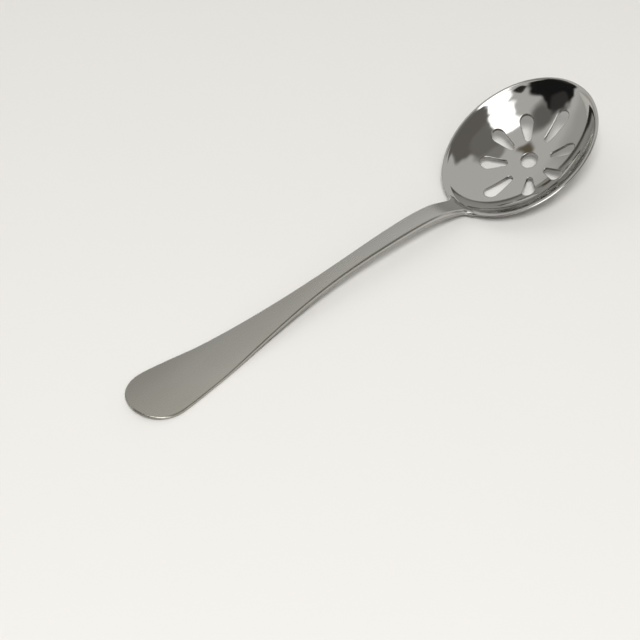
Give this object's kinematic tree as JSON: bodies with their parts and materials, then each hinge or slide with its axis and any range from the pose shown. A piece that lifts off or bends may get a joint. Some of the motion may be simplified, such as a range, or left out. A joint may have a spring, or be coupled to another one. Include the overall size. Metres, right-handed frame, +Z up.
{
  "type": "pierced serving spoon",
  "caption": "One-piece steel serving spoon with an oval bowl pierced by a flower of teardrop slots round a hole, and an arched handle with a rounded end.",
  "frame": {"origin": "on the table under the middle of the spoon's length and width, at the lowest point of the bowl", "axes": "+X along the spoon towards the front of the bowl, +Z up out of the bowl's hollow, +Y to the left seen from the handle"},
  "size_m": [0.23, 0.0584, 0.0318],
  "materials": {
    "stainless_steel": "mirror-polished bowl, satin handle"
  },
  "bodies": {
    "root": {"pierced_serving_spoon": "stainless_steel"}
  },
  "joints": []
}
